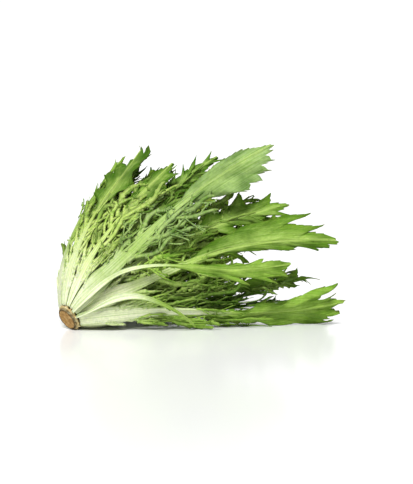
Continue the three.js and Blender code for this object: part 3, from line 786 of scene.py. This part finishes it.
def leaf_finish(name, white, pale, green, shade_green, shaded, greening=0.4):
    """Leaf tissue: white rib foot, pale rib, green strips and blades with paler side veins.

    Shaded is the share of painted shade, a dark green, in the tissue halfway along the leaf where it lies
    inside the head; greening is that of the green in the rib.
    """
    material, shader = new_finish(name)

    def mark(key):
        return add_node(material, "ShaderNodeAttribute", attribute_name=key).outputs["Fac"]

    along, across, rib, vein, edge = (mark(key) for key in ("along", "across", "rib", "vein", "edge"))
    place_of = add_node(material, "ShaderNodeTexCoord").outputs["Object"]
    reach = worked(material, "DIVIDE", along, 280.0)
    patch = noise(material, place_of, 45.0, 3.0)
    fine = noise(material, place_of, 420.0, 2.0)
    shift = worked(material, "MULTIPLY", worked(material, "SUBTRACT", patch, 0.5), 0.25)
    wander = worked(material, "ADD", reach, shift)
    # Fine lines run lengthwise along the rib.
    lines_at = add_node(material, "ShaderNodeCombineXYZ", {
        "X": worked(material, "MULTIPLY", across, 0.9), "Y": worked(material, "MULTIPLY", along, 0.025),
    }).outputs[0]
    lines = noise(material, lines_at, 1.0, 3.0)
    rib_colour = ramp(material, wander, [
        (0.07, white), (0.16, mix_colour(white, pale, 0.5)),
        (0.28, mix_colour(pale, green, 0.4 * greening)), (0.42, mix_colour(pale, green, greening)),
        (1.0, mix_colour(pale, green, 0.6 * greening)),
    ])
    # Halfway along, where the leaf lies inside the head, the tissue is painted darker: painted shade.
    tissue_colour = ramp(material, wander, [
        (0.1, mix_colour(pale, white, 0.1)), (0.3, mix_colour(pale, green, 0.45)),
        (0.45, mix_colour(green, shade_green, shaded)), (0.66, mix_colour(green, shade_green, 0.9 * shaded)),
        (1.0, green),
    ])
    # A blade is paler near its midrib, partly its own colour and partly a painted sheen, and paler side
    # veins run out through it to the fingers.
    pale_midrib_and_sheen = ramp(material, edge, [(0.0, 0.9), (0.3, 0.6), (0.7, 0.2), (1.0, 0.0)])
    tissue_colour = blended(material, pale_midrib_and_sheen, tissue_colour, mix_colour(pale, green, 0.35))
    veins_at = add_node(material, "ShaderNodeCombineXYZ", {
        "X": worked(material, "MULTIPLY", vein, 0.11), "Y": worked(material, "MULTIPLY", edge, 2.2),
        "Z": worked(material, "MULTIPLY", patch, 1.2),
    }).outputs[0]
    streaks = noise(material, veins_at, 1.0, 3.0)
    thin = ramp(material, streaks, [(0.52, 0.0), (0.64, 0.42)])
    thin = toned(material, thin, ramp(material, edge, [(0.05, 1.0), (0.9, 0.3)]))
    tissue_colour = blended(material, thin, tissue_colour, pale)
    # The tips of the teeth have dried here and there.
    dry = ramp(material, worked(material, "SUBTRACT", edge, 1.0), [(0.04, 0.0), (0.24, 0.75)])
    tissue_colour = blended(material, dry, tissue_colour, (0.12, 0.12, 0.03))
    shade = ramp(material, patch, [(0.42, 0.0), (0.66, 0.7)])
    tissue_colour = blended(material, shade, tissue_colour, mix_colour(green, shade_green, 0.75))
    colour = blended(material, rib, tissue_colour, rib_colour)
    line_level = ramp(material, lines, [(0.3, (0.56, 0.72, 0.38)), (0.56, (1.08, 1.06, 1.1))])
    colour = toned(material, colour, line_level)
    colour = toned(material, colour, ramp(material, fine, [(0.3, 0.9), (0.7, 1.06)]))
    relief = worked(material, "MULTIPLY", lines, 0.6)
    relief = worked(material, "ADD", relief, worked(material, "MULTIPLY", fine, 0.3))
    relief = worked(material, "ADD", relief, worked(material, "MULTIPLY", thin, 0.5))
    bump = add_node(material, "ShaderNodeBump", {"Height": relief, "Strength": 0.5, "Distance": 0.0006})
    gloss = ramp(material, patch, [(0.3, 0.5), (0.7, 0.64)])
    set_inputs(material, shader, {
        "Base Color": colour, "Normal": bump.outputs["Normal"], "Roughness": gloss,
        "Subsurface Weight": 0.25, "Subsurface Radius": (1.0, 1.1, 0.3),
        "Subsurface Scale": 0.001, "Specular IOR Level": 0.04,
    })
    return material


LOBE_SPACING = 26.0


def whorl(name, depth, size, leaves, finish, first_number, base_style, styles=None):
    """Grows one whorl. A leaf is its midrib's path, its length and its shares of foot and size."""
    shell = shell_table(depth)
    grown = []
    for i, leaf in enumerate(leaves):
        path, length, foot, own = (list(leaf) + [1.0, 1.0])[:4]
        grown.append({
            "path": path, "length": float(length), "foot": foot, "size": size * own,
            "lobes": int(math.floor(length / LOBE_SPACING + 0.5)), "number": first_number + i,
            "shell": shell, "style": {**base_style, **(styles or {}).get(i + 1, {})},
        })
    for i, leaf in enumerate(grown):
        leaf["before"] = (grown[i - 1], 0.0 if i > 0 else -2.0 * math.pi)
        leaf["after"] = (grown[(i + 1) % len(grown)], 0.0 if i + 1 < len(grown) else 2.0 * math.pi)
    for i, leaf in enumerate(grown):
        piece = leaf_piece(f"{name}_leaf_{i + 1}", leaf, leaf["style"].get("finish", finish))
    return first_number + len(grown)


# ---- The outer whorls ---------------------------------------------------------------------------
# The oldest and longest leaves, with white feet and broad green blades. Two short lowest leaves
# cross over the rest, and the whorl under the outer one fills the gaps between its leaves.
OUTER_STYLE = {
    "blade": 66.0, "width": 19.0, "fan": 0.6, "fingers": 5, "reach": 15.0, "notch": 2.4,
    "ruffle": 2.2, "pleat": 0.3, "cup": 3.0, "loose": 1.3, "rib": 0.62, "wide_foot": 1.8,
    "blanched": 1.2, "strips_from": 0.2, "strips_to": 0.72, "strip_gap": 8.0, "strip": 64.0,
    "strip_width": 2.1, "tooth": 2.4, "strip_loose": 1.5, "curl": 1.2, "hang": (0.0, 0.0),
    "clear": 0.6, "forks": 4, "fork": 20.0, "spurs": 6, "spur": 26.0, "paleness": 0.8, "dried": 0.1,
}
# The leaves that stand out are drawn one by one: a half blade's margin, lower side first, as
# points out from the midrib and back from the tip, in millimetres.
# The dented leaf's greens are greyer and bluer than the others': a painted sheen.
painted_sheen_finish = leaf_finish(
    "painted_sheen_leaf_finish", (0.65, 0.69, 0.47), (0.325, 0.44, 0.125), (0.262, 0.38, 0.135),
    (0.025, 0.08, 0.006), 0.2)
DENTED = {
    "finish": painted_sheen_finish, "rib": 0.82, "blanched": 1.0, "clear": 1.2, "paleness": 0.4,
    "cup": (7.0, 5.0), "curl": 0.3, "hang": (-9.0, -3.0), "spurs": 3, "strip": 58.0,
    "strips_from": (0.3, 0.22), "strips_to": (0.58, 0.42), "notch": (4.4, 2.2),
    "margin": (
        ((2, 112), (8, 87), (18, 69), (26, 47), (21, 43), (25, 31), (18, 31), (19, 20), (12, 22),
         (12, 11), (6, 12), (0.3, 0)),
        ((2, 112), (9, 80), (13, 52), (11, 28), (7, 17), (3, 9), (0.3, 0)),
    ),
}
FANNED = {
    "rib": 0.8, "blanched": 4.0, "clear": 1.1, "paleness": 0.2, "fan": 0.4, "loose": 1.9,
    "cup": (-14.0, 6.0), "curl": 0.2, "hang": (-13.0, -8.0), "spurs": 9, "spur": 34.0,
    "strip_gap": (4.0, 13.0), "strips_from": (0.2, 0.47), "strips_to": (0.54, 0.52), "notch": 2.6,
    "margin": (
        ((2, 100), (10, 84), (17, 56), (22, 26), (30, -4), (18, 14), (19, 7), (11, 14), (12, 1),
         (6, 10), (0.3, 0)),
        ((2, 98), (7, 72), (10, 50), (11, 36), (17, 22), (19, 4), (13, 20), (8, 24), (9, 8),
         (5, 12), (0.3, 0)),
    ),
}
upper_finish = leaf_finish(
    "upper_leaf_finish", (0.66, 0.70, 0.47), (0.48, 0.59, 0.17), (0.1, 0.235, 0.014),
    (0.008, 0.038, 0.001), 0.45, 0.25)
BROAD = {
    "finish": upper_finish, "rib": 0.5, "paleness": 1.5, "loose": 1.6, "ruffle": 5.0,
    "cup": (-6.0, -10.0), "strips_from": 0.3, "strips_to": 0.56, "notch": 2.8,
    "margin": (
        ((2, 88), (12, 68), (23, 55), (24, 32), (17, 18), (19, 3), (12, 0), (7, 9), (0.3, 0)),
        ((2, 92), (13, 70), (16, 51), (18, 38), (13, 34), (17, 18), (8, 22), (9, 14), (4, 14),
         (0.3, 0)),
    ),
}
NARROW = {
    "finish": upper_finish, "rib": 0.42, "paleness": 1.5, "ruffle": 2.4,
    "margin": (
        ((2, 74), (13, 48), (17, 28), (11, 26), (15, 8), (6, 12), (0.3, 0)),
        ((2, 78), (8, 52), (11, 30), (7, 26), (8, 10), (4, 12), (0.3, 0)),
    ),
}
BARE = {"strips_from": (0.34, 0.3), "spurs": 3, "paleness": 1.6, "strip_loose": 1.1, "curl": 0.8}
BRANCH = {
    "blade": 34.0, "width": 4.0, "reach": 8.0, "fingers": 3, "rib": 1.5, "wide_foot": 1.0, "blanched": 3.0,
    "strip_gap": 26.0, "strip": 22.0, "strips_from": 0.62, "forks": 1, "spurs": 0,
}
ARCHED = {
    "rib": 0.55, "wide_foot": 1.0, "blanched": 2.2, "strip_gap": 12.0, "strip": 34.0,
    "strips_from": 0.4, "strips_to": 0.55, "spurs": 0, "notch": 2.0,
    "margin": (
        ((1.5, 94), (7, 70), (16, 40), (9, 46), (9, 34), (17, 18), (9, 25), (11, 8), (5, 10), (0.3, 0)),
        ((1.5, 84), (3, 58), (5.5, 40), (3.5, 36), (6, 18), (3.5, 22), (3.5, 7), (0.3, 0)),
    ),
}
outer_finish = leaf_finish(
    "outer_leaf_finish", (0.65, 0.69, 0.47), (0.315, 0.44, 0.1), (0.215, 0.365, 0.046),
    (0.025, 0.075, 0.003), 0.2)
number = whorl("lowest", -0.12, 0.72, [
    ([12, 10, -56, -60], 122, 0.4, 0.7), ([36, 34, 8, 14], 196, 0.5),
], outer_finish, 1, OUTER_STYLE, {1: BRANCH, 2: ARCHED})
number = whorl("outer", 0.0, 1.0, [
    ([-146, -144, -140, -142], 232), ([-6, -14, -20, -2], 230), ([46, 42, 46, 46], 257),
    ([67, 69, 69, 63], 186, 0.6), ([92, 94, 95, 84], 194, 0.8), ([127, 121, 114, 98], 182),
    ([172, 172, 168, 170], 214),
], outer_finish, number, OUTER_STYLE, {2: FANNED, 3: DENTED, 4: NARROW, 5: BROAD, 6: BARE})
UNDER_STYLE = dict(OUTER_STYLE, curl=0.9, paleness=0.3)
under_finish = leaf_finish(
    "under_leaf_finish", (0.68, 0.72, 0.47), (0.37, 0.50, 0.13), (0.165, 0.31, 0.026),
    (0.012, 0.05, 0.001), 0.58, 0.15)
# The other under leaves lie in among the outer ones, and their greens are painted darker for the shade
# there: painted shade.
shadowed_under_finish = leaf_finish(
    "shadowed_under_leaf_finish", (0.68, 0.72, 0.47), (0.37, 0.50, 0.13), (0.095, 0.235, 0.01),
    (0.006, 0.036, 0.001), 0.6, 0.15)
FINGERED = {
    "finish": under_finish, "rib": 0.6, "blanched": 1.6, "loose": 1.9, "cup": (6.0, 9.0),
    "strip_gap": 12.0, "strips_from": 0.36, "strips_to": 0.54, "notch": 2.6,
    "margin": (
        ((1.5, 125), (4, 96), (7, 66), (8.6, 44), (8, 34), (11, 19), (8, 20), (7, 9), (4, 9),
         (3.4, 1), (0.3, 0)),
        ((1.5, 130), (8, 98), (15, 66), (19, 34), (20, 6), (12, 31), (11, 24), (12, 3), (5, 20),
         (4.4, 7), (0.3, 0)),
    ),
}
number = whorl("under", 0.15, 1.0, [
    ([-162, -164, -162, -158], 214), ([-112, -110, -112, -116], 236), ([-66, -66, -68, -68], 236),
    ([-24, -26, -34, -38], 206), ([22, 13, 12, 5], 241), ([56, 57, 60, 50], 212),
    ([106, 106, 102, 92], 186), ([152, 150, 148, 150], 196),
], shadowed_under_finish, number, UNDER_STYLE, {5: FINGERED})

# ---- The inner whorls ---------------------------------------------------------------------------
# Younger leaves that stood in the shade of the outer ones: shorter, paler and more finely cut.
INNER_STYLE = dict(
    OUTER_STYLE, blade=44.0, width=13.0, fingers=4, rib=0.5, strip=66.0, strip_gap=5.2,
    strip_width=2.3, tooth=3.2, fork=18.0, strips_to=0.84, curl=1.1, spurs=0, paleness=0.4)
RAGGED = {
    "finish": under_finish, "loose": 1.6, "cup": (-2.0, -8.0), "ruffle": 3.4,
    "strips_to": (0.66, 0.8), "notch": 3.0,
    "margin": (
        ((2, 84), (6, 70), (14, 56), (6, 55), (8, 40), (16, 26), (7, 31), (6, 19), (11, 3),
         (4, 12), (0.3, 0)),
        ((2, 84), (10, 72), (21, 58), (9, 56), (12, 44), (22, 28), (9, 32), (8, 21), (13, 4),
         (4, 12), (0.3, 0)),
    ),
}
LOBED = {
    "finish": under_finish, "loose": 1.7, "cup": (4.0, -4.0), "ruffle": 3.6,
    "strips_to": 0.8, "notch": 3.2,
    "margin": (
        ((2, 100), (12, 88), (30, 66), (14, 64), (14, 46), (31, 24), (11, 26), (8, 12), (12, -4),
         (3, 8), (0.3, 0)),
        ((2, 90), (10, 80), (26, 62), (12, 60), (12, 44), (29, 26), (11, 28), (9, 16), (15, 2),
         (4, 10), (0.3, 0)),
    ),
}
# The middle whorl shows through the gaps between the outer leaves, and its greens are painted nearly black
# for the shade in there: painted shade.
shadowed_middle_finish = leaf_finish(
    "shadowed_middle_leaf_finish", (0.60, 0.68, 0.30), (0.26, 0.40, 0.04), (0.05, 0.13, 0.007),
    (0.004, 0.02, 0.001), 0.6)
number = whorl("middle", 0.31, 0.86, [
    ([-138, -140, -142, -140], 200), ([-80, -78, -82, -84], 214), ([-12, -14, -24, -26], 226),
    ([36, 32, 24, 18], 222), ([92, 94, 98, 92], 176), ([158, 160, 156, 158], 184),
], shadowed_middle_finish, number, INNER_STYLE, {3: LOBED, 4: RAGGED})
young_finish = leaf_finish(
    "young_leaf_finish", (0.66, 0.74, 0.36), (0.42, 0.57, 0.09), (0.17, 0.34, 0.02),
    (0.03, 0.11, 0.004), 0.4)
number = whorl("inner", 0.47, 0.74, [
    ([-130, -128, -132, -134], 180), ([-58, -60, -62, -60], 194), ([6, 8, 12, 10], 208),
    ([72, 70, 66, 64], 186), ([142, 144, 148, 146], 168),
], young_finish, number, INNER_STYLE)

# ---- The heart ----------------------------------------------------------------------------------
# The youngest leaves round the growing point: small, blanched yellow and curled into each other.
HEART_STYLE = dict(INNER_STYLE, strip=48.0, strip_gap=6.5)
heart_finish = leaf_finish(
    "heart_leaf_finish", (0.78, 0.84, 0.46), (0.68, 0.79, 0.25), (0.54, 0.70, 0.13),
    (0.28, 0.45, 0.035), 0.2)
number = whorl("heart", 0.63, 0.6, [
    ([-126, -124, -122, -120], 158), ([-38, -36, -34, -36], 174), ([50, 48, 46, 50], 180),
    ([138, 140, 142, 138], 154),
], heart_finish, number, HEART_STYLE)
whorl("bud", 0.79, 0.46, [
    ([-120, -118, -116, -118], 136), ([0, 2, 6, 4], 148), ([120, 118, 116, 120], 132),
], heart_finish, number, HEART_STYLE)

# ---- The floor, the light and the camera --------------------------------------------------------
# A white table top that runs back under the head, lit softly from above as in a packshot.
TABLE_SIZE = 40.0  # in metres, so that its edge is out of sight
bpy.ops.mesh.primitive_plane_add(size=TABLE_SIZE, location=(0.0, 0.0, 0.0))
floor = bpy.context.object
floor.name = "floor"
floor_finish, floor_shader = new_finish("white_table")
set_inputs(floor_finish, floor_shader, {
    "Base Color": (0.9, 0.9, 0.9, 1.0), "Roughness": 0.2, "Specular IOR Level": 0.35,
})
floor.data.materials.append(floor_finish)

world = bpy.data.worlds.new("studio")
world.use_nodes = True
sky = world.node_tree
SKY_SEEN, SKY_LIGHT = 1.05, 0.36  # how bright it looks, and how much it lights
lighting = sky.nodes.new("ShaderNodeLightPath").outputs["Is Diffuse Ray"]
strength = sky.nodes.new("ShaderNodeMapRange")
strength.inputs["To Min"].default_value = SKY_SEEN
strength.inputs["To Max"].default_value = SKY_LIGHT
sky.links.new(lighting, strength.inputs["Value"])
sky.links.new(strength.outputs["Result"], sky.nodes["Background"].inputs["Strength"])
sky.nodes["Background"].inputs["Color"].default_value = (1.0, 1.0, 1.0, 1.0)
bpy.context.scene.world = world

CAMERA_AZIMUTH, CAMERA_ELEVATION, CAMERA_DISTANCE = math.radians(-42), math.radians(6), 1.278
SUN_AZIMUTH, SUN_ELEVATION = math.radians(-46), math.radians(46)


def direction(azimuth, elevation):
    """From the head towards a place given as a bearing from the front and a height, in radians."""
    level = math.cos(elevation)
    return Vector((math.sin(azimuth) * level, -math.cos(azimuth) * level, math.sin(elevation)))


lamp = bpy.data.lights.new("soft_lamp", "SUN")
lamp.energy = 4.2
lamp.angle = math.radians(20)
lamp_holder = bpy.data.objects.new("soft_lamp", lamp)
lamp_holder.rotation_euler = direction(SUN_AZIMUTH, SUN_ELEVATION).to_track_quat("Z", "Y").to_euler()
bpy.context.scene.collection.objects.link(lamp_holder)

# The camera stands so that the cut stem is low on the left of the picture.
back = direction(CAMERA_AZIMUTH, CAMERA_ELEVATION)
turn = back.to_track_quat("Z", "Y")
right, above = turn @ Vector((1.0, 0.0, 0.0)), turn @ Vector((0.0, 1.0, 0.0))
STEM_LEFT_OF_MIDDLE, STEM_BELOW_MIDDLE = 0.1316, 0.0729
camera_data = bpy.data.cameras.new("camera")
camera_data.sensor_fit = "VERTICAL"
camera_data.sensor_height = 36.0
camera_data.lens = 100.4
camera_data.clip_end = 50.0
camera = bpy.data.objects.new("camera", camera_data)
stem_centre = Vector(to_frame([0.0, 0.0, STEM_HEIGHT]))
aim = stem_centre + right * STEM_LEFT_OF_MIDDLE + above * STEM_BELOW_MIDDLE
camera.location = aim + back * CAMERA_DISTANCE
camera.rotation_euler = turn.to_euler()
bpy.context.scene.collection.objects.link(camera)
bpy.context.scene.camera = camera
bpy.context.scene.view_settings.view_transform = "Standard"
